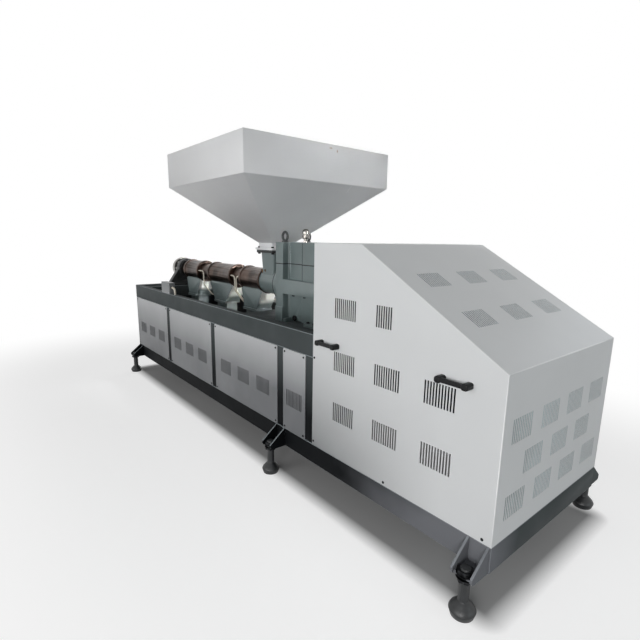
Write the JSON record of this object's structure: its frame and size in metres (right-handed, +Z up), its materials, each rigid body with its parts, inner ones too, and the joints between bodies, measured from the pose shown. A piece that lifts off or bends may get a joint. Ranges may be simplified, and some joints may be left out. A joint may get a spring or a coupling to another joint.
{
  "type": "single-screw plastic extruder",
  "caption": "Single-screw plastic extruder: channel frame with vented side panels, sloped motor housing, vertical gearbox, heated barrel with air ducts and a square feed hopper.",
  "frame": {"origin": "on the floor, below the middle of the machine's bounding box", "axes": "+X along the machine from the die end to the motor housing, +Y from the operator side to the far side, +Z up"},
  "size_m": [4.075, 1.2518, 2.0125],
  "materials": {
    "frame_paint": "dark grey enamel on rolled channel, satin",
    "panel_paint": "light grey baked powder coat on sheet steel, satin",
    "housing_paint": "white-grey baked powder coat on folded sheet steel",
    "hopper_paint": "light grey spray paint on welded sheet steel, lightly scuffed",
    "gear_paint": "grey-green machine enamel over castings and ducts",
    "machined_steel": "turned and ground nitrided steel",
    "barrel_steel": "heat-browned nitrided steel",
    "black_iron": "black painted iron, slightly glossy",
    "black_plastic": "black moulded nylon",
    "galvanised": "galvanised sheet trunking",
    "white_sleeve": "white glass-fibre sleeving",
    "grey_plastic": "grey moulded terminal box",
    "gasket_rubber": "black rubber gasket",
    "bright_steel": "bright plated breather"
  },
  "bodies": {
    "root": {"near_bottom_rail": "frame_paint", "far_bottom_rail": "frame_paint", "near_top_rail": "frame_paint", "far_top_rail": "frame_paint", "end_rails": "frame_paint", "near_posts": "frame_paint", "far_posts": "frame_paint", "cross_beams": "frame_paint", "deck_plate": "frame_paint", "near_leg_brackets": "frame_paint", "far_leg_brackets": "frame_paint", "end_panel": "frame_paint", "near_panel_1": "panel_paint", "near_panel_2": "panel_paint", "near_panel_3": "panel_paint", "near_panel_4": "panel_paint", "far_panel_1": "panel_paint", "far_panel_2": "panel_paint", "far_panel_3": "panel_paint", "far_panel_4": "panel_paint", "housing_near_side": "housing_paint", "housing_far_side": "housing_paint", "housing_roof": "housing_paint", "housing_end": "housing_paint", "housing_front_wall": "housing_paint", "hopper": "hopper_paint", "hopper_flange": "hopper_paint", "gearbox_case": "gear_paint", "gearbox_cover": "gear_paint", "coupling_guard": "gear_paint", "feed_throat": "gear_paint", "air_ducts": "gear_paint", "cooling_blowers": "gear_paint", "screw": "machined_steel", "die_flange": "machined_steel", "barrel": "barrel_steel", "heater_jackets": "barrel_steel", "near_levelling_feet": "black_iron", "far_levelling_feet": "black_iron", "barrel_support": "black_iron", "gearbox_eye_bolts": "black_iron", "near_handles": "black_plastic", "far_handles": "black_plastic", "cable_tray": "galvanised", "wiring_leads": "white_sleeve", "terminal_box": "grey_plastic", "hopper_gasket": "gasket_rubber", "gearbox_breather": "bright_steel"}
  },
  "joints": []
}
